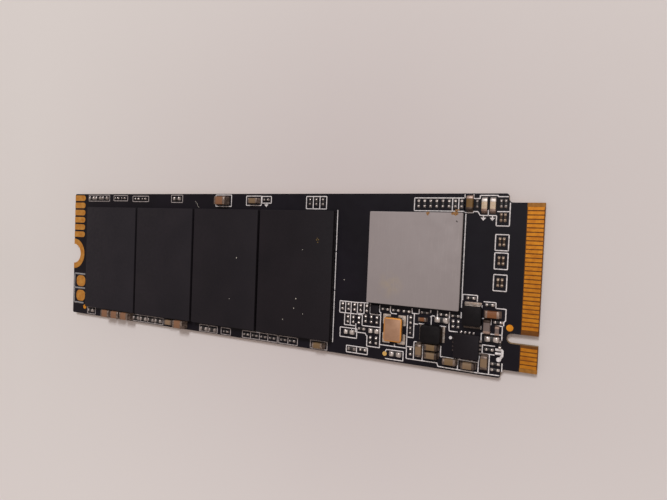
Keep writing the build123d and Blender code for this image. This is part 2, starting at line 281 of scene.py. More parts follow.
def carrier_finish():
    """Dark green carrier, with its fibre layers on the cut side."""
    paint = Finish("package_carrier", specular=0.45)
    layers = paint.noise(0.05, 2, (60, 60, 1))
    paint.colour(paint.ramp(layers, (0.35, (20, 26, 20)), (0.65, (48, 56, 40))))
    paint.roughen(paint.noise(0.3), 0.4, 0.6)
    paint.relief(layers, 0.004, 0.4)
    return paint.material


def plate_finish():
    """Matte nickel with faint rolling lines, painted shade that darkens it towards +X, and one yellowish
    smudge.
    """
    paint = Finish("matte_nickel", metallic=0.3, specular=0.3)
    rolling = paint.noise(0.12, 3, (1, 22, 1))
    pale = paint.mottle(4, 4, (153, 143, 143), (157, 147, 147))
    # painted shade: the plate is blended darker between 19 and 31 mm along X
    base = paint.blend(paint.span(paint.axis("X"), 19 * MM, 31 * MM), pale, (144, 134, 133))
    lined = paint.blend(paint.span(rolling, 0.55, 0.8, 0, 0.3), base, (168, 157, 154))
    patchy = paint.span(paint.noise(0.9, 4), 0.35, 0.75)
    smudge = paint.calc("MULTIPLY", paint.near(22.2, -0.9, 0.2, 2), patchy)
    paint.colour(paint.blend(paint.calc("MULTIPLY", smudge, 0.75), lined, (169, 152, 130)))
    paint.roughen(paint.noise(1.6, 4), 0.62, 0.74)
    paint.relief(rolling, 0.004, 0.25)
    return paint.material


def gold_finish(name, dull, bright):
    """Gold plate, rubbed brighter the way a card slides in, and darker in patches; paler at a tint of 1."""
    paint = Finish(name, metallic=0.65)
    rubs = paint.noise(0.05, 3, (30, 1, 1))
    base = paint.ramp(paint.noise(0.8, 4), (0.32, dull), (0.68, bright))
    rubbed = paint.blend(paint.span(rubs, 0.55, 0.75, 0, 0.45), base, (202, 132, 34))
    paint.colour(paint.blend(paint.tint(), rubbed, (228, 184, 108)))
    paint.roughen(rubs, 0.34, 0.5)
    paint.relief(rubs, 0.004, 0.3)
    return paint.material


def solder_finish(name, film, metal, bright, other, smooth, rough):
    """Frosty tin with flux film in patches; another colour at a tint of 1, brown flux higher up at -1."""
    paint = Finish(name, metallic=0.65)
    colour = paint.ramp(paint.noise(0.35, 4), (0.3, film), (0.55, metal), (0.75, bright))
    mixed = paint.blend(paint.tint(), colour, other)
    climb = paint.span(paint.axis("Z"), (BOARD_TOP + 0.15) * MM, (BOARD_TOP + 0.35) * MM)
    paint.colour(paint.blend(paint.calc("MULTIPLY", paint.tint(-1), climb), mixed, (50, 36, 29)))
    return paint.finished((0.14, smooth, rough), (0.08, 0.008, 0.4))


def capacitor_finish():
    """Ceramic with a fine grain; a chip's tint leads from dark and grey through tan to orange."""
    paint = Finish("tan_ceramic", specular=0.25)
    fired = paint.ramp(
        paint.tint(),
        (0, (42, 27, 19)),
        (0.12, (104, 91, 90)),
        (0.25, (102, 74, 36)),
        (0.4, (114, 93, 71)),
        (0.7, (138, 111, 90)),
        (0.85, (126, 88, 66)),
        (1, (118, 69, 38)),
    )
    paint.colour(paint.blend(paint.span(paint.noise(0.06), 0.4, 0.8, 0, 0.3), fired, (150, 122, 92)))
    return paint.finished((0.3, 0.34, 0.52), (0.1, 0.008, 0.4))


def resistor_finish():
    """White alumina sides under a black glaze, which laps a little over the edge."""
    paint = Finish("black_glaze")
    ragged = paint.calc("MULTIPLY", paint.noise(0.1), 0.08 * MM)
    lap = paint.calc("ADD", paint.axis("Z"), ragged)
    glazed = paint.span(lap, (BOARD_TOP + 0.14) * MM, (BOARD_TOP + 0.18) * MM)
    glaze = paint.mottle(0.4, 3, (28, 26, 27), (40, 36, 37))
    alumina = paint.mottle(0.08, 3, (142, 134, 126), (176, 168, 160))
    paint.colour(paint.blend(glazed, alumina, glaze))
    return paint.finished((0.25, 0.25, 0.4), (0.12, 0.006, 0.4))


def lamp_finish():
    """Cream resin over a pale phosphor, slightly see-through."""
    paint = Finish("cream_resin")
    paint.colour(paint.mottle(0.6, 2, (182, 160, 136), (200, 176, 153)))
    paint.shader.inputs["Subsurface Weight"].default_value = 0.2
    paint.shader.inputs["Subsurface Radius"].default_value = (0.0003, 0.0002, 0.0001)
    paint.roughen(paint.noise(0.2), 0.18, 0.34)
    paint.relief(paint.noise(0.15, 2), 0.006, 0.3)
    return paint.material


def inductor_finish():
    """Pressed iron powder: dark grey, gritty, with a few brighter grains."""
    paint = Finish("iron_powder", specular=0.12)
    base = paint.mottle(0.7, 4, (15, 12, 14), (22, 18, 20))
    sparkle = paint.span(paint.cells(0.07), 0, 0.22, 1, 0)
    paint.colour(paint.blend(paint.calc("MULTIPLY", sparkle, 0.2), base, (70, 65, 66)))
    return paint.finished((0.2, 0.5, 0.7), (0.07, 0.012, 0.6))


def crystal_base_finish():
    """Dark brown ceramic with a fine fired grain."""
    paint = Finish("dark_ceramic", specular=0.45)
    paint.colour(paint.mottle(0.25, 4, (44, 34, 28), (70, 54, 42)))
    return paint.finished((0.2, 0.4, 0.6), (0.08, 0.006, 0.4))


def crystal_lid_finish():
    """Gold-plated lid: dull pinkish, with a brighter rim where it was welded."""
    paint = Finish("gilded_lid", metallic=0.5, specular=0.4)
    low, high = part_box("crystal_lid")
    rims = [
        paint.span(paint.off(letter, middle), half - 0.2 * MM, half - 0.1 * MM)
        for letter, middle, half in zip("XY", (low + high) / 2, (high - low) / 2)
    ]
    dull = paint.mottle(1.1, 4, (166, 126, 100), (179, 139, 112))
    paint.colour(paint.blend(paint.calc("MAXIMUM", *rims), dull, (214, 142, 58)))
    return paint.finished((0.3, 0.36, 0.52), (0.1, 0.004, 0.3))


def ink_finish(name, thin, full):
    """Printing ink, a little thin and uneven."""
    paint = Finish(name, specular=0.3)
    paint.colour(paint.ramp(paint.noise(0.25, 4), (0.25, thin), (0.6, full)))
    return paint.finished((0.15, 0.55, 0.75), (0.06, 0.006, 0.5))


def dust_finish(name, dark, pale):
    """Lint, dust or dried flux: dull and mottled."""
    paint = Finish(name, specular=0.3)
    paint.colour(paint.mottle(0.12, 3, dark, pale))
    return paint.finished((0.1, 0.6, 0.85), (0.05, 0.01, 0.5))


def floor_finish():
    """Pale, slightly warm sheet, with painted shade round the card and painted light towards -Y."""
    paint = Finish("pale_sheet", specular=0.2)
    fibres = paint.mottle(60, 3, (213, 206, 203), (215, 208, 205))
    # painted shade: the sheet is darkened in a band round the card
    beside = paint.span(paint.off("Y", 0), 14 * MM, 64 * MM, 1, 0)
    along = paint.span(paint.off("X", 16 * MM), 5 * MM, 71 * MM, 1, 0)
    painted_shade_floor = paint.blend(paint.calc("MULTIPLY", beside, along), fibres, (199, 189, 188))
    # painted light: the sheet is paled towards -Y
    painted_light_amount = paint.span(paint.axis("Y"), -3.5 * MM, -141 * MM)
    paint.colour(paint.blend(painted_light_amount, painted_shade_floor, (240, 232, 232)))
    paint.roughen(paint.noise(2), 0.75, 0.85)
    return paint.material


mask_black = board_finish()
charcoal_mould = mould_finish()
carrier_green = carrier_finish()
matte_nickel = plate_finish()
contact_gold = gold_finish("contact_gold", (176, 103, 16), (205, 132, 28))
pad_gold = gold_finish("pad_gold", (198, 128, 46), (222, 160, 76))
target_gold = gold_finish("target_gold", (214, 134, 24), (238, 158, 40))

# Solders: flux film, metal, brightest metal, the colour of a full tint, least and most roughness
SOLDERS = {
    "bright_tin": ((176, 164, 158), (228, 216, 210), (246, 239, 235), (96, 84, 82), 0.16, 0.32),
    "dull_tin": ((84, 70, 62), (128, 110, 100), (176, 158, 147), (176, 148, 134), 0.4, 0.6),
    "tan_tin": ((132, 112, 96), (176, 155, 138), (212, 197, 183), (150, 120, 96), 0.3, 0.5),
    # clip_tin's dark full-tint colour is painted shade on the upright inductor's -Y clip
    "clip_tin": ((166, 142, 124), (212, 198, 187), (242, 236, 230), (96, 78, 68), 0.24, 0.42),
    "lamp_ends": ((172, 158, 150), (206, 195, 189), (238, 232, 229), (144, 118, 106), 0.3, 0.45),
}
tin, dull_tin, tan_tin, clip_tin, lamp_ends = [solder_finish(name, *look) for name, look in SOLDERS.items()]
tan_ceramic = capacitor_finish()
black_glaze = resistor_finish()
cream_resin = lamp_finish()
iron_powder = inductor_finish()
dark_ceramic = crystal_base_finish()
gilded_lid = crystal_lid_finish()
white_ink = ink_finish("white_ink", (168, 161, 161), (226, 218, 217))
worn_ink = ink_finish("worn_ink", (108, 99, 97), (168, 157, 155))
faded_ink = ink_finish("faded_ink", (84, 80, 82), (150, 146, 147))
pale_dust = dust_finish("pale_dust", (150, 142, 132), (214, 206, 196))
brown_flux = dust_finish("brown_flux", (96, 66, 38), (168, 122, 74))
dark_crumb = dust_finish("dark_crumb", (26, 22, 22), (52, 44, 42))
ochre_mark = dust_finish("ochre_mark", (82, 64, 30), (120, 96, 48))


# Shapes


def flat_ring(z, half_x, half_y, radius, steps=3):
    """A level loop with rounded corners."""
    points = []
    for quarter, (side_x, side_y) in enumerate(((1, 1), (-1, 1), (-1, -1), (1, -1))):
        for step in range(steps + 1):
            angle = (quarter + step / steps) * math.pi / 2
            x = side_x * (half_x - radius) + radius * math.cos(angle)
            y = side_y * (half_y - radius) + radius * math.sin(angle)
            points.append((x, y, z))
    return points


def end_ring(x, half_y, bottom, top, radius):
    """An upright loop across X, square at the bottom and rounded at the top."""
    radius = min(radius, 0.45 * (top - bottom))
    points = [(x, -half_y, bottom), (x, half_y, bottom)]
    for side, start in ((1, 0), (-1, 90)):
        for step in range(3):
            angle = math.radians(start + 45 * step)
            y = side * (half_y - radius) + radius * math.cos(angle)
            points.append((x, y, top - radius + radius * math.sin(angle)))
    return points


def round_ring(z, radius, sides):
    """A level circle."""
    turns = [2 * math.pi * index / sides for index in range(sides)]
    return [(radius * math.cos(turn), radius * math.sin(turn), z) for turn in turns]


def loft(loops, centre=(0.0, 0.0, 0.0), finishes=None):
    """Joins loops of equal count into a closed skin; finishes gives each band's material number."""
    shape = bmesh.new()
    rows = [
        [shape.verts.new([(p + c) * MM for p, c in zip(point, centre)]) for point in loop] for loop in loops
    ]
    finishes = finishes or [0] * (len(loops) - 1)
    shape.faces.new(rows[0][::-1]).material_index = finishes[0]
    shape.faces.new(rows[-1]).material_index = finishes[-1]
    for finish, lower, upper in zip(finishes, rows, rows[1:]):
        for corners in zip(lower, lower[1:] + lower[:1], upper[1:] + upper[:1], upper):
            shape.faces.new(corners).material_index = finish
    return shape


def as_mesh(shape, name, sharp=35.0):
    """A built shape as a mesh with outward faces, smooth across gentle bends."""
    bmesh.ops.recalc_face_normals(shape, faces=shape.faces)
    mesh = bpy.data.meshes.new(name)
    shape.to_mesh(mesh)
    shape.free()
    mesh.polygons.foreach_set("use_smooth", [True] * len(mesh.polygons))
    mesh.set_sharp_from_angle(angle=math.radians(sharp))
    return mesh


def add_object(name, data):
    thing = bpy.data.objects.new(name, data)
    bpy.context.scene.collection.objects.link(thing)
    return thing


def add_piece(name, mesh, materials, slot, *nodes):
    """Puts a finished mesh on the card, in place of the nodes that it stands for."""
    mesh.materials.clear()
    for material in materials:
        mesh.materials.append(material)
    piece = add_object(name, mesh)
    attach(piece, "root")
    if nodes:
        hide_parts(*nodes)


patterns = []


def add_pattern(name, shape, sharp=35.0):
    """A shape to be copied; patterns lists them all, to be removed at the end."""
    patterns.append(add_object(name, as_mesh(shape, name, sharp)))
    return patterns[-1]


def solids_of(node):
    """The box of each separate solid in a node."""
    shape = bmesh.new()
    shape.from_mesh(frame["nodes"][node].data)
    bmesh.ops.remove_doubles(shape, verts=shape.verts, dist=0.0005 * MM)
    left = set(shape.verts)
    boxes = []
    while left:
        solid = [left.pop()]
        for vert in solid:  # solid grows while it is walked
            joined = left.intersection(edge.other_vert(vert) for edge in vert.link_edges)
            left -= joined
            solid.extend(joined)
        axes = list(zip(*(vert.co / MM for vert in solid)))
        boxes.append((Vector([min(axis) for axis in axes]), Vector([max(axis) for axis in axes])))
    shape.free()
    return sorted(boxes, key=lambda box: (round(box[0].x, 4), round(box[0].y, 4)))


# Copies of a shape and strips along lines, made by node trees


def open_tree(name, labels, kind):
    """A new geometry node tree, the sockets of its inputs, and the keys of those after the first."""
    tree = bpy.data.node_groups.new(name, "GeometryNodeTree")
    inputs = [("Guide", "Geometry"), *((label, kind) for label in labels), ("Finish", "Material")]
    keys = [
        tree.interface.new_socket(label, in_out="INPUT", socket_type="NodeSocket" + kind).identifier
        for label, kind in inputs
    ]
    tree.interface.new_socket("Result", in_out="OUTPUT", socket_type="NodeSocketGeometry")
    return tree, tree.nodes.new("NodeGroupInput").outputs, keys[1:]


def close_tree(tree, geometry, finish):
    """Ends a tree with plain geometry in its finish."""
    plain = add_node(tree, "GeometryNodeRealizeInstances", {"Geometry": geometry})
    coated = add_node(tree, "GeometryNodeSetMaterial", {"Geometry": plain, "Material": finish})
    tree.links.new(coated, tree.nodes.new("NodeGroupOutput").inputs[0])


@functools.cache
def copies_tree(shape_count):
    """Puts copies of some shapes on points, by each point's size number, turn and scale."""
    labels = [f"Shape {index}" for index in range(shape_count)]
    tree, entry, keys = open_tree(f"copies_of_{shape_count}_shapes", labels, "Object")
    turn, scale, size = [
        add_node(tree, "GeometryNodeInputNamedAttribute", {"Name": name}, data_type=kind)
        for name, kind in (("turn", "FLOAT"), ("scale", "FLOAT"), ("size", "INT"))
    ]
    spin = add_node(tree, "ShaderNodeCombineXYZ", {"Z": turn})
    gather = tree.nodes.new("GeometryNodeJoinGeometry")
    equal = {"data_type": "INT", "operation": "EQUAL"}
    for index, label in enumerate(labels):
        placing = {
            "Points": entry["Guide"],
            "Selection": add_node(tree, "FunctionNodeCompare", {2: size, 3: index}, **equal),
            "Instance": add_node(tree, "GeometryNodeObjectInfo", {"Object": entry[label]}, "Geometry"),
            "Rotation": add_node(tree, "FunctionNodeEulerToRotation", {"Euler": spin}),
            "Scale": scale,
        }
        tree.links.new(add_node(tree, "GeometryNodeInstanceOnPoints", placing), gather.inputs[0])
    close_tree(tree, gather.outputs[0], entry["Finish"])
    return tree, keys


@functools.cache
def strips_tree():
    """Sweeps a flat strip along lines, with small rounded corners."""
    tree, entry, keys = open_tree("strip_along_lines", ("Width", "Height", "Corner"), "Float")
    path = add_node(tree, "GeometryNodeMeshToCurve", {"Mesh": entry["Guide"]})
    corner = {"Curve": path, "Radius": entry["Corner"], "Count": 3}
    bend = add_node(tree, "GeometryNodeFilletCurve", corner, mode="POLY")
    upright = add_node(tree, "GeometryNodeSetCurveNormal", {"Curve": bend}, mode="Z_UP")
    across = {"Width": entry["Width"], "Height": entry["Height"]}
    section = add_node(tree, "GeometryNodeCurvePrimitiveQuadrilateral", across)
    sweep = {"Curve": upright, "Profile Curve": section, "Fill Caps": True}
    close_tree(tree, add_node(tree, "GeometryNodeCurveToMesh", sweep), entry["Finish"])
    return tree, keys


def frozen(thing, name):
    """The plain mesh that an object's curve or node tree makes; the object is removed."""
    bpy.context.view_layer.update()
    graph = bpy.context.evaluated_depsgraph_get()
    mesh = bpy.data.meshes.new_from_object(thing.evaluated_get(graph), depsgraph=graph)
    mesh.name = name
    bpy.data.batch_remove([thing, thing.data])
    return mesh


def grown(name, mesh, tree, keys, values):
    """The plain mesh that a tree makes of points or lines; values go to its inputs after the first."""
    holder = add_object(name + "_source", mesh)
    modifier = holder.modifiers.new("tree", "NODES")
    modifier.node_group = tree
    for key, value in zip(keys, values):
        modifier[key] = value
    return frozen(holder, name)


Place = namedtuple("Place", "x y z turn size scale tint", defaults=(0.0, 0, 1.0, 0.0))


def add_copies(name, places, shapes, material, slot, *nodes):
    """A piece made of copies, each the shape that its place's size number says."""
    mesh = bpy.data.meshes.new(name + "_places")
    mesh.from_pydata([[value * MM for value in place[:3]] for place in places], [], [])
    for label, kind, values in (
        ("turn", "FLOAT", [math.radians(place.turn) for place in places]),
        ("size", "INT", [place.size for place in places]),
        ("scale", "FLOAT", [place.scale for place in places]),
        ("tint", "FLOAT", [place.tint for place in places]),
    ):
        mesh.attributes.new(label, kind, "POINT").data.foreach_set("value", values)
    result = grown(name, mesh, *copies_tree(len(shapes)), [*shapes, material])
    for label in ("turn", "size", "scale"):
        if label in result.attributes:
            result.attributes.remove(result.attributes[label])
    add_piece(name, result, [material], slot, *nodes)


INK_HEIGHT = 0.012


def add_printing(name, lines, width, corner, ink):
    """Lines of one width and ink, each x and y in turn; a closed one ends where it starts. Neighbours
    differ a hair in height, so that no two faces coincide where they meet."""
    points = []
    edges = []
    for number, line in enumerate(lines):
        route = list(zip(line[::2], line[1::2]))
        closed = route[0] == route[-1]
        kept = route[:-1] if closed else route
        order = list(range(len(points), len(points) + len(kept)))
        level = BOARD_TOP + INK_HEIGHT / 2 + 0.001 * (number % 4)
        points.extend((x * MM, y * MM, level * MM) for x, y in kept)
        edges.extend(zip(order, order[1:] + order[:1] if closed else order[1:]))
    mesh = bpy.data.meshes.new(name + "_lines")
    mesh.from_pydata(points, edges, [])
    result = grown(name, mesh, *strips_tree(), (width * MM, INK_HEIGHT * MM, corner * MM, ink))
    add_piece(name, result, [ink], "led_lens")


# The solids that keep their own shape
for node, material in (
    ("pcb_board", mask_black),
    ("service_pads", pad_gold),
    ("screw_notch_lands", pad_gold),
    ("crystal_base", dark_ceramic),
):
    mesh = frame["nodes"][node].data
    mesh.materials.clear()
    mesh.materials.append(material)


# Packages and blocks


def add_block(name, node, below, inset, edge, corner, materials, slot, finishes=None, longer=0.0):
    """A block in a node's box, with rounded upright corners: the loops below, each a height and an inset,
    then walls and a bevelled top edge. It may reach further towards -X."""
    low, high = box_of(node)
    low.x -= longer
    half = (high - low) / 2
    height = high.z - low.z
    top = [(height - edge, inset), (height - 0.3 * edge, inset + 0.3 * edge), (height, inset + edge)]
    loops = [flat_ring(z, half.x - step, half.y - step, corner) for z, step in below + top]
    shape = loft(loops, (low.x + half.x, low.y + half.y, low.z), finishes)
    add_piece(name, as_mesh(shape, name), materials, slot, node)


def add_package(name, node, carrier, corner):
    """A moulded package on its carrier, with a thin step between the two."""
    step = 0.012
    below = [(0.0, 0.0), (carrier, 0.0), (carrier + 0.01, step)]
    finishes = [1, 1, 0, 0, 0]
    materials = [charcoal_mould, carrier_green]
    add_block(name, node, below, step, 0.04, corner, materials, "mould_compound", finishes)


def add_plain_block(name, node, edge, corner, material, slot, longer=0.0):
    """A block of one material with bevelled edges."""
    below = [(0.0, 0.5 * edge), (0.5 * edge, 0.0)]
    add_block(name, node, below, 0.0, edge, corner, [material], slot, longer=longer)


FLASH_NUMBERS = range(1, 5)
for number in FLASH_NUMBERS:
    add_package(f"flash_mould_{number}", f"flash_package_{number}", 0.18, 0.12)
add_package("controller_mould", "controller_package", 0.3, 0.1)
add_plain_block("heat_spreader_plate", "controller_heat_spreader", 0.04, 0.14, matte_nickel, "nickel_lid")
add_plain_block("supply_chip", "regulator_body", 0.05, 0.06, charcoal_mould, "mould_compound")
add_plain_block("monitor_chip_mould", "monitor_chip", 0.04, 0.05, charcoal_mould, "mould_compound")
add_plain_block("upright_inductor", "upright_inductor_core", 0.12, 0.32, iron_powder, "inductor_core")
add_plain_block("level_inductor", "level_inductor_core", 0.1, 0.36, iron_powder, "inductor_core", 0.1)
add_plain_block("crystal_cover", "crystal_lid", 0.11, 0.3, gilded_lid, "crystal_metal")


# Chip parts

# End caps, in shares: back by the terminal or out by the fillet, of half the width, of the height
BEAD_BACK = [(1, 0.92, 0.66), (0.7, 1, 0.88), (0.2, 1.06, 1)]
BEAD_OUT = [(0.15, 1.1, 0.97), (0.45, 1.12, 0.78), (0.75, 1.06, 0.48), (1, 0.82, 0.08)]
HOLLOW_BACK = [(1, 1, 1), (0.5, 1, 1), (0.05, 0.98, 0.94)]
HOLLOW_OUT = [(0.1, 0.98, 0.7), (0.38, 1, 0.38), (0.72, 1, 0.15), (1, 0.88, 0.04)]


def is_beaded(index):
    """Whether a chip is so small that its solder sets in full beads."""
    return CHIP_SIZES[index].height < BEADED_BELOW and index != SMALL_CAPACITOR


def chip_body(index, size):
    """A chip's body between its end caps."""
    inner = size.length / 2 - size.terminal
    top = 0.74 * size.height if is_beaded(index) else size.height - 0.02
    along = (-inner, -0.4 * inner, 0.4 * inner, inner)
    loops = [end_ring(x, size.width / 2 - 0.02, 0.02, top, 0.1 * size.height) for x in along]
    return add_pattern(f"chip_body_{index}", loft(loops))


def chip_cap(index, size):
    """A metal end cap in solder: a full bead on the small chips, a hollow slope on the tall ones."""
    beaded = is_beaded(index)
    back, out = (BEAD_BACK, BEAD_OUT) if beaded else (HOLLOW_BACK, HOLLOW_OUT)
    rim = (0.45 if beaded else 0.12) * size.height
    stations = [(-share * size.terminal, wide, tall) for share, wide, tall in back]
    stations += [(share * size.fillet, wide, tall) for share, wide, tall in out]
    loops = [
        end_ring(size.length / 2 + x, wide * size.width / 2, 0.0, tall * size.height, rim)
        for x, wide, tall in stations
    ]
    return add_pattern(f"chip_cap_{index}", loft(loops))


body_shapes = [chip_body(index, size) for index, size in enumerate(CHIP_SIZES)]
cap_shapes = [chip_cap(index, size) for index, size in enumerate(CHIP_SIZES)]

# Chips unlike the rest, by their places: tint is how orange a capacitor or how dull a resistor's solder
# is, and ends has the tint of the end towards +X or +Y, then of the other.
CHIP_LOOKS = [
    (34.8, -3.45, {"tint": 1.0, "scale": 1.04, "ends": (0.4, 0.4)}), (26.35, -5.0, {"tint": 1.0}),
    (-5.76, 9.9, {"tint": 0.9}), (34.25, -4.95, {"tint": 0.12, "ends": (-1.0, 0.9)}),
    (35.4, -5.38, {"tint": 0.12, "ends": (0.6, 0.9)}), (30.0, -9.83, {"tint": 0.35}),
    (31.58, 9.79, {"tint": 0.25, "ends": (0.65, -0.7)}), (32.2, -10.0, {"ends": (-0.8, -0.6)}),
    (27.65, -8.36, {"ends": (-0.8, -0.3)}), (27.65, -9.4, {"ends": (-0.8, -0.3)}),
    (33.27, 9.56, {"scale": 0.96, "ends": (0.0, 1.0)}), (34.25, 9.56, {"scale": 0.96, "ends": (0.0, 0.9)}),
    (35.8, -7.0, {"scale": 1.05, "ends": (0.8, 0.0)}), (32.4, 9.72, {"tint": 0.75}),
    (35.18, 9.77, {"tint": 0.6}), (35.68, 9.77, {"tint": 0.6}),
    (16.75, -10.11, {"tint": 0.75, "scale": 0.8}), (24.8, -6.6, {"tint": 0.75}),
    (26.58, -4.12, {"tint": 0.75}), (34.85, -6.47, {"size": FULL_BEADS}),
    (28.79, -4.83, {"size": FULL_BEADS, "scale": 1.08}), (19.85, -7.3, {"size": FULL_BEADS, "scale": 0.92}),
    (16.27, -7.85, {"size": FULL_BEADS, "scale": 0.92}),
    (22.92, -9.98, {"size": FULL_BEADS, "scale": 0.96}),
]
GROUP_TINTS = {"link_capacitor": 0.0, "bulk_capacitor": 0.85}
PALE_PAD = (21.46, -10.1)  # the probe dot, whose gold is paler
SAME_PLACE = 0.12


def is_at(place, x, y):
    """Whether a chip or pad is the one listed at x and y."""
    return abs(place.x - x) < SAME_PLACE and abs(place.y - y) < SAME_PLACE


def chip_look(place):
    """What the list says of the chip at a place."""
    for x, y, look in CHIP_LOOKS:
        if is_at(place, x, y):
            return look
    return {}


def usual_tint(group, x, y):
    """The tint of a chip that isn't listed, which varies a little from chip to chip."""
    if group in RESISTORS:
        mean = 0.62 if group.startswith("flash") else 0.16
        return mean + 0.12 * math.sin(53.0 * x + 29.0 * y)
    return GROUP_TINTS.get(group, 0.5 + 0.18 * math.sin(37.0 * x + 61.0 * y))


def chip_places(group):
    """Where a group's chips lie and how they look, from its two nodes and the list."""
    caps = solids_of(f"{group}_caps")
    places = []
    for body in solids_of(f"{group}_bodies"):
        middle = middle_of(body)
        near = min(caps, key=lambda box: (middle_of(box) - middle).length)
        away = middle_of(near) - middle
        height = near[1].z - near[0].z
        size = min(range(SOLID_SIZES), key=lambda index: abs(CHIP_SIZES[index].height - height))
        if size == SMALL_RESISTOR and group not in RESISTORS:
            size = SMALL_CAPACITOR
        turn = 90.0 if abs(away.y) > abs(away.x) else 0.0
        look = {"size": size, "tint": usual_tint(group, middle.x, middle.y), **chip_look(middle)}
        look.pop("ends", None)
        places.append(Place(middle.x, middle.y, near[0].z, turn, **look))
    return places


def add_chips(group, material, slot, metal):
    """A group's bodies and end caps, copied to their places."""
    places = chip_places(group)
    add_copies(f"{group}_blocks", places, body_shapes, material, slot, f"{group}_bodies")
    ends = []
    for place in places:
        usual = place.tint if group in RESISTORS else 0.0
        for half_turn, tint in zip((0.0, 180.0), chip_look(place).get("ends", (usual, usual))):
            ends.append(place._replace(turn=place.turn + half_turn, tint=tint))
    add_copies(f"{group}_ends", ends, cap_shapes, metal, "solder", f"{group}_caps")


for group in CAPACITORS:
    metal = tan_tin if group == "link_capacitor" else dull_tin
    add_chips(group, tan_ceramic, "capacitor_ceramic", metal)
for group in RESISTORS:
    add_chips(group, black_glaze, "resistor_glaze", tin)
add_chips("indicator_led", cream_resin, "led_lens", lamp_ends)


# Contacts, pads, clips, leads and balls


def pad_shape(name, half_x, half_y, radius, height, edge, steps):
    """A thin pad with a soft upper edge."""
    loops = [
        flat_ring(0.0, half_x, half_y, radius, steps),
        flat_ring(height - edge, half_x, half_y, radius, steps),
        flat_ring(height, half_x - edge, half_y - edge, radius - edge, steps),
    ]
    return add_pattern(name, loft(loops))


def add_pads(name, node, radius, steps, material, slot):
    """Pads copied to the places of a node's solids, one shape for each size."""
    boxes = solids_of(node)
    spans = [tuple(round(value, 3) for value in high - low) for low, high in boxes]
    sizes = sorted(set(spans))
    shapes = [
        pad_shape(f"{name}_{index}", x / 2, y / 2, min(radius, x / 2, y / 2), z, 0.3 * min(z, 0.06), steps)
        for index, (x, y, z) in enumerate(sizes)
    ]
    places = []
    for box, span in zip(boxes, spans):
        middle = middle_of(box)
        pale = float(is_at(middle, *PALE_PAD))
        places.append(Place(middle.x, middle.y, box[0].z, size=sizes.index(span), tint=pale))
    add_copies(name, places, shapes, material, slot, node)


for face in ("upper", "lower"):
    add_pads(f"{face}_contacts", f"{face}_edge_contacts", 0.06, 2, contact_gold, "gold_plating")
add_pads("round_targets", "fiducial_dots", 1.0, 8, target_gold, "gold_plating")
add_pads("test_points", "test_pads", 0.8, 6, pad_gold, "gold_plating")
add_pads("crystal_solder", "crystal_lands", 0.12, 3, clip_tin, "solder")


def outward(box, centre, along, depth):
    """On which side of a centre a box lies, 1 or -1, and a place depth past its inner face, turned so."""
    low, high = box
    middle = middle_of(box)
    side = 1 if middle[along] > centre[along] else -1
    middle[along] = (low if side > 0 else high)[along] + side * depth
    return side, Place(middle.x, middle.y, low.z, 90.0 * along + 90.0 - 90.0 * side)


# A clip's solder, in shares: out by its reach, of half its width, of its height; then the rim's radius
CLIP_SLOPE = [
    (0, 0.9, 1, 0.05), (0.08, 0.9, 0.97, 0.05), (0.24, 0.92, 0.6, 0.05), (0.42, 0.97, 0.3, 0.05),
    (0.7, 1, 0.16, 0.03), (1, 0.95, 0.05, 0.01),
]


def add_inductor_ends(name, tints):
    """An inductor's end clips in a hollow slope of solder; the +X or +Y end has the first tint."""
    boxes = solids_of(f"{name}_clips")
    span = boxes[0][1] - boxes[0][0]
    reach = min(span.x, span.y)
    half = max(span.x, span.y) / 2
    loops = [
        end_ring(out * reach, wide * half, 0.0, tall * span.z, rim) for out, wide, tall, rim in CLIP_SLOPE
    ]
    end = add_pattern(name + "_end", loft(loops))
    core = middle_of(box_of(f"{name}_core"))
    places = []
    for box in boxes:
        side, place = outward(box, core, 0 if span.x < span.y else 1, 0.0)
        places.append(place._replace(tint=tints[0] if side > 0 else tints[1]))
    add_copies(f"{name}_ends", places, [end], clip_tin, "solder", f"{name}_clips")


# painted shade: the upright inductor's -Y clip, in the core's shadow, takes clip_tin's darker colour at
# tint 0.6
add_inductor_ends("upright_inductor", (0.0, 0.6))
add_inductor_ends("level_inductor", (-1.0, 0.5))


def add_leads():
    """Supply chip's leads, each with solder drawn out to a toe, and the pad under it."""
    body_end, toe, half, height = 0.42, 0.25, 0.125, 0.2
    slope = [
        (-body_end, 1, 1, 0.03), (0, 1, 1, 0.03), (0.15 * toe, 1, 0.7, 0.03), (0.5 * toe, 1.05, 0.4, 0.03),
        (toe, 0.9, 0.08, 0.01),
    ]
    loops = [end_ring(x, wide * half, 0.0, tall * height, rim) for x, wide, tall, rim in slope]
    lead = add_pattern("lead", loft(loops))
    boxes = solids_of("regulator_leads")
    centre = sum((middle_of(box) for box in boxes), Vector()) / len(boxes)
    places = []
    for low, high in boxes:
        span = high - low
        if min(span.x, span.y) > 1.0:
            slab = pad_shape("thermal_slab", span.x / 2, span.y / 2, 0.1, span.z, 0.01, 2)
            middle = middle_of((low, high))
            places.append(Place(middle.x, middle.y, low.z, size=1))
            continue
        along = 0 if span.x > span.y else 1
        side, place = outward((low, high), centre, along, body_end)
        places.append(place._replace(tint=1.0 if along == 0 and side < 0 else 0.7))
    add_copies("supply_chip_leads", places, [lead, slab], tin, "solder", "regulator_leads")


add_leads()

# A squeezed ball, in shares of the gap under the package and of its radius
BALL_RINGS = [(0.0, 0.68), (0.25, 0.92), (0.5, 1.0), (0.75, 0.92), (1.0, 0.68)]
BALL_SIDES = 8


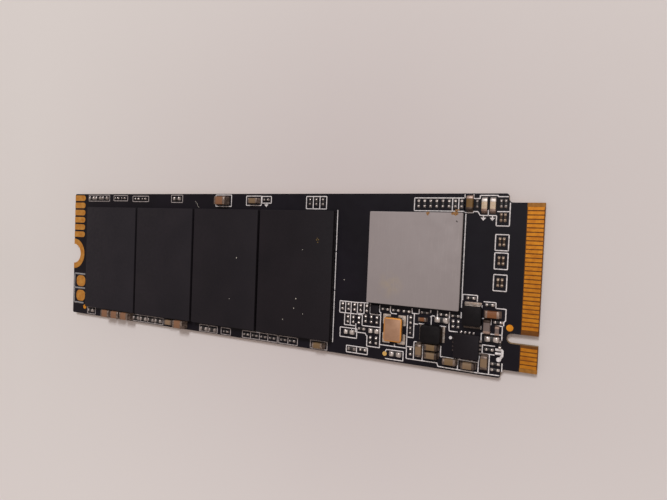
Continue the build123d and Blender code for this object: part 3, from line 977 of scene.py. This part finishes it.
def add_balls(name, package_node, ball_node, columns, rows, pitch, radius):
    """A full grid of solder balls under a package, flattened where they were squeezed."""
    low, high = box_of(package_node)
    middle = (low + high) / 2
    gap = low.z - BOARD_TOP
    loops = [round_ring(z * gap, out * radius, BALL_SIDES) for z, out in BALL_RINGS]
    ball = add_pattern(name + "_ball", loft(loops))
    xs = [middle.x + (column - (columns - 1) / 2) * pitch for column in range(columns)]
    ys = [middle.y + (row - (rows - 1) / 2) * pitch for row in range(rows)]
    places = [Place(x, y, BOARD_TOP) for x in xs for y in ys]
    add_copies(name, places, [ball], tin, "solder", ball_node)


for number in FLASH_NUMBERS:
    grid = f"flash_ball_grid_{number}"
    add_balls(grid, f"flash_package_{number}", f"flash_balls_{number}", 9, 17, 1.0, 0.25)
add_balls("controller_ball_grid", "controller_package", "controller_balls", 14, 14, 0.8, 0.2)


# Printed outlines round the chips


def box_line(x0, y0, x1, y1):
    return [x0, y0, x1, y0, x1, y1, x0, y1, x0, y0]


def boxes_in_row(edges, low, high):
    """A row of boxes that share their sides."""
    lines = [box_line(edges[0], low, edges[-1], high)]
    return lines + [[x, low, x, high] for x in edges[1:-1]]


UPPER_LINES = [
    *boxes_in_row([24.6, 29.42, 30.18, 30.9], 8.8, 10.43),
    *boxes_in_row([8.85, 9.95, 11, 12.05], 8.85, 10.6), box_line(34.7, 4.2, 36.2, 6.1),
    box_line(34.7, 1.98, 36.2, 3.92), box_line(34.7, -0.62, 36.2, 1.32), box_line(-7.3, 9.05, -4.3, 10.82),
    box_line(-1.5, 9.25, 1.18, 10.65), box_line(1.3, 9.6, 2.95, 10.6), [30.9, 8.7, 30.9, 10.88],
    [31, 8.66, 31.95, 8.65, 32.02, 8.8, 32.5, 8.8, 32.8, 8.34, 34.68, 8.34],
    [34.68, 8.34, 34.68, 7.13, 36.17, 7.13, 36.17, 9.9],
    [31.95, 10.88, 31.95, 10.37, 32.7, 10.37, 32.7, 10.75, 34.74, 10.75, 34.8, 10.6, 35.95, 10.6],
    [34.74, 8.83, 36.1, 8.83], [33.72, 9, 33.72, 8.34], [33.18, 8.3, 33.18, 8], [34.22, 8.3, 34.22, 8],
    [31.1, 8.5, 31.1, -3.05], [13.82, 8.75, 13.82, 3.1], [13.82, 2.95, 13.82, -2.3],
    [13.82, -2.42, 13.82, -9.6],
]
CONTROLLER_LINES = [
    *boxes_in_row([15.94, 17.45, 19.03], -10.63, -9.73),
    *boxes_in_row([14.72, 15.58, 16.4, 17.34], -5.31, -3.73), [17.34, -3.72, 18.9, -3.66],
    [17.34, -5.31, 17.5, -5.18, 18.31, -5.18, 18.31, -3.7], [19.2, -3.7, 19.2, -5.08, 20.68, -5.08],
    [15.5, -5.4, 15.5, -6.93, 17.2, -6.93], [16.37, -5.35, 16.37, -6.93],
    [17.45, -5.34, 18.1, -5.34, 18.1, -6.78, 20.75, -6.75],
    [17.2, -6.6, 17.2, -7.76, 18.62, -7.76, 18.74, -8, 18.88, -8.05, 18.88, -9.45, 20.7, -9.45],
    [20.5, -3.75, 20.5, -4.68, 20.7, -4.74, 20.7, -9.45], box_line(14.9, -8.62, 17.38, -7.33),
    [22, -3.75, 22, -4.5, 22.2, -4.7, 22.9, -4.7], [24.37, -4.7, 24.37, -9, 20.76, -9],
    [22.77, -8.65, 22.77, -9], [21.5, -9.9, 21.68, -9.53, 23.98, -9.5, 23.98, -10.74, 21.55, -10.74],
]
SUPPLY_LINES = [
    [24.9, -3.75, 24.95, -4.4, 25.85, -4.36, 25.85, -3.75], [25.24, -4.4, 25.24, -7.53, 24.4, -7.53],
    [25.3, -5.72, 25.78, -5.72],
    [24.4, -9, 24.4, -10.33, 28.4, -10.3, 28.55, -10.72, 33.4, -10.78, 35.9, -10.72],
    [24.42, -8.75, 25.2, -8.75], [25.78, -8, 25.36, -8, 25.36, -10.33], [26.5, -8.17, 26.5, -10.33],
    [25.85, -5.62, 29.35, -5.62], [27.33, -3.72, 27.33, -4.1], [27.3, -4.62, 27.6, -4.42, 27.88, -4.46],
    [27.45, -4.5, 27.45, -5.62], [28.2, -3.72, 28.2, -4.5],
    [29.69, -3.72, 29.69, -5.45, 29.74, -6.1, 30.8, -6.1], [28.8, -8.1, 28.8, -9.45, 33.42, -9.5],
    [30.97, -9.5, 30.97, -10.76], [33.5, -8.65, 33.44, -9.45, 33.42, -10.78], [34.66, -8.33, 34.66, -10.73],
    [33.8, -8.33, 33.8, -7.28, 35.25, -7.28], [33.8, -8.33, 35.25, -8.33],
    [33.6, -6.75, 33.6, -5.88, 35.97, -5.86], [35.35, -4.8, 35.97, -4.8, 35.97, -6.5],
    [33.52, -2.5, 33.52, -5.45], [33.62, -4.1, 34.64, -4.1, 34.64, -4.8],
    [33.7, -2.05, 35.12, -2.05, 35.12, -2.73, 36.29, -2.73, 36.29, -4.1, 36.1, -4.3, 36.1, -4.75],
    [31.2, -2.1, 31.2, -1.38, 32.95, -1.38, 32.95, -2.1], [31.12, -3.6, 31.12, -4.35],
    [36.14, -9.2, 36.14, -10.2],
]
FLASH_LINES = [
    *boxes_in_row([-9.75, -7.95, -6.2], -10.86, -9.82),
    *boxes_in_row([-1.4, 0.1, 1.7, 3.2, 4.85], -10.86, -9.78),
    *boxes_in_row([5.1, 6.65, 8.25], -10.86, -9.78),
    *boxes_in_row([-24.55, -22.75, -21.05, -19.35, -17.55], -10.86, -9.76),
    box_line(-5.45, -10.86, -3.65, -9.82), box_line(10.35, -10.86, 13, -9.72),
    box_line(-36.05, -10.82, -33.95, -9.6), box_line(-36.35, 9.72, -31, 10.8),
    box_line(-29.95, 9.8, -26.55, 10.72), box_line(-25.3, 9.7, -21.6, 10.62),
    box_line(-16.5, 9.6, -14.1, 10.8),
]
PAD_BANDS = [
    [-36.9, -3.72, -39.75, -3.72, -39.75, -9.05, -37.2, -9.05], [-39.7, -6.33, -36.9, -6.33],
]
CORNER_BANDS = [
    [35.3, -7.66, 36.1, -7.66, 36.1, -8.35, 35.75, -8.85], [35.3, -8.12, 36, -8.12],
]
THIN_LINE = (0.13, 0.07)  # width, and the radius of its corners
BROAD_LINE = (0.3, 0.12)
add_printing("printed_outlines", UPPER_LINES + CONTROLLER_LINES + SUPPLY_LINES, *THIN_LINE, white_ink)
add_printing("worn_outlines", FLASH_LINES, *THIN_LINE, worn_ink)
add_printing("pad_bands", PAD_BANDS, *BROAD_LINE, faded_ink)
add_printing("corner_bands", CORNER_BANDS, *BROAD_LINE, white_ink)


def add_printed_marks():
    """Arrows under the lamps and at one chip, the supply chip's first-pin dot and a corner dot."""
    foot = [(-0.32, 0.16), (0.0, -0.2), (0.32, 0.16)]
    top = [(-0.29, 0.14), (0.0, -0.17), (0.29, 0.14)]
    rings = ((foot, 0.0), (foot, 0.008), (top, INK_HEIGHT))
    arrow = add_pattern("arrow", loft([[(x, y, z) for x, y in ring] for ring, z in rings]))
    dot = pad_shape("dot", 0.2, 0.2, 0.2, INK_HEIGHT, 0.004, 5)
    places = [
        Place(33.18, 7.92, BOARD_TOP),
        Place(34.22, 7.92, BOARD_TOP),
        Place(2.1, 9.25, BOARD_TOP, scale=1.1),
        Place(29.95, -6.9, BOARD_TOP, size=1),
        Place(35.72, -8.82, BOARD_TOP, size=1, scale=1.4),
    ]
    add_copies("printed_marks", places, [arrow, dot], white_ink, "led_lens")


add_printed_marks()


# Dust, flux and lint


def speck_shape(name, bumps):
    """A flat, uneven crumb."""
    shape = bmesh.new()
    bmesh.ops.create_icosphere(shape, subdivisions=1, radius=0.1 * MM)
    for index, vert in enumerate(shape.verts):
        vert.co *= 1.0 + 0.3 * math.sin(bumps * (index + 1))
        vert.co.z *= 0.18
    return add_pattern(name, shape, 60.0)


def add_specks(name, material, *patches):
    """Crumbs in patches, each the height that they lie at, then every crumb's x, y and scale."""
    shapes = [speck_shape(f"{name}_{index}", bumps) for index, bumps in enumerate((3.1, 5.7))]
    specks = [(x, y, top + 0.003 * scale, scale) for top, *crumbs in patches for x, y, scale in crumbs]
    places = [
        Place(x, y, z, 40.0 * index, index % 2, scale) for index, (x, y, z, scale) in enumerate(specks)
    ]
    add_copies(name, places, shapes, material, "led_lens")


DUST = [
    (FLASH_TOP, (8.27, -3.94, 1.0), (7.97, -5.32, 0.7), (9.45, -6.0, 0.6), (6.2, -7.09, 0.7)),
    (FLASH_TOP, (9.05, 3.04, 0.6), (-2.26, 1.27, 0.9), (-3.34, -5.03, 0.6)),
    (BOARD_TOP, (15.2, -0.8, 0.7)),
]
FLUX = [
    (LID_TOP, (26.62, 8.42, 1.7), (26.77, 8.5, 1.5), (26.68, 8.25, 1.1), (29.7, 8.45, 1.6)),
    (LID_TOP, (29.95, 8.47, 2.2), (30.25, 8.45, 1.7), (30.1, 8.28, 1.2)),
    (BOARD_TOP, (29.95, 8.86, 1.8), (30.2, 8.98, 1.3)),
]
DARK = (LID_TOP, (30.25, 7.54, 0.9), (30.33, 7.46, 0.6))
OCHRE = (FLASH_TOP, (11.2, 4.5, 0.9), (11.4, 4.2, 0.8), (11.5, 4.55, 1.0), (11.3, 4.75, 0.7))
add_specks("dust_specks", pale_dust, *DUST)
add_specks("flux_crumbs", brown_flux, *FLUX)
add_specks("dark_specks", dark_crumb, DARK)
add_specks("ochre_marks", ochre_mark, OCHRE)


def add_fibre():
    """A curled lint fibre on the board beside the third flash package."""
    curve = bpy.data.curves.new("lint_fibre", "CURVE")
    curve.dimensions = "3D"
    curve.bevel_depth = 0.018 * MM
    curve.bevel_resolution = 2
    spline = curve.splines.new("NURBS")
    route = [(-11.4, 9.9), (-11.25, 9.6), (-10.95, 9.45), (-10.95, 9.1), (-10.6, 8.8)]
    spline.points.add(len(route) - 1)
    for point, (x, y) in zip(spline.points, route):
        point.co = (x * MM, y * MM, (BOARD_TOP + 0.03) * MM, 1.0)
    spline.order_u = 3
    spline.use_endpoint_u = True
    mesh = frozen(add_object("lint_fibre_line", curve), "lint_fibre")
    add_piece("lint_fibre", mesh, [pale_dust], "led_lens")


add_fibre()
for pattern in patterns:
    bpy.data.objects.remove(pattern)

# Floor, light and camera
floor_shape = bmesh.new()
bmesh.ops.create_grid(floor_shape, x_segments=4, y_segments=4, size=1.5)
floor = add_object("floor", as_mesh(floor_shape, "floor"))
floor.location.z = -0.02 * MM
floor.data.materials.append(floor_finish())

scene = bpy.context.scene
scene.view_settings.view_transform = "Standard"
scene.world = bpy.data.worlds.new("soft_room")
scene.world.use_nodes = True
room = scene.world.node_tree.nodes["Background"]
room.inputs["Color"].default_value = shade(234, 219, 209)
room.inputs["Strength"].default_value = 0.5


def add_lamp(name, place, size, power, colour):
    """A soft square lamp that looks at the card."""
    data = bpy.data.lights.new(name, "AREA")
    data.size = size
    data.energy = power
    data.color = colour
    lamp = add_object(name, data)
    lamp.location = place
    lamp.rotation_euler = Vector(place).to_track_quat("Z", "Y").to_euler()


add_lamp("window", (0.05, 0.42, 0.58), 0.17, 2.77, (0.95, 1.0, 1.03))
add_lamp("ceiling", (0.25, 0.2, 0.75), 0.7, 1.3, (1.0, 1.0, 1.0))

CAMERA_PLACE = (41.33, 5.13, 60.22)
CAMERA_AHEAD = (-0.4253, -0.0293, -0.9046)
CAMERA_ACROSS = (0.9037, 0.0403, -0.4262)
camera_data = bpy.data.cameras.new("camera")
camera_data.sensor_fit = "HORIZONTAL"
camera_data.sensor_width = 36.0
camera_data.lens = 25.57
camera_data.clip_start = 0.001
camera_data.clip_end = 10.0
camera = add_object("camera", camera_data)
ahead = Vector(CAMERA_AHEAD).normalized()
across = Vector(CAMERA_ACROSS)
across = (across - ahead * across.dot(ahead)).normalized()
turned = Matrix((across, across.cross(ahead), -ahead)).transposed().to_4x4()
turned.translation = Vector(CAMERA_PLACE) * MM
camera.matrix_world = turned
scene.camera = camera
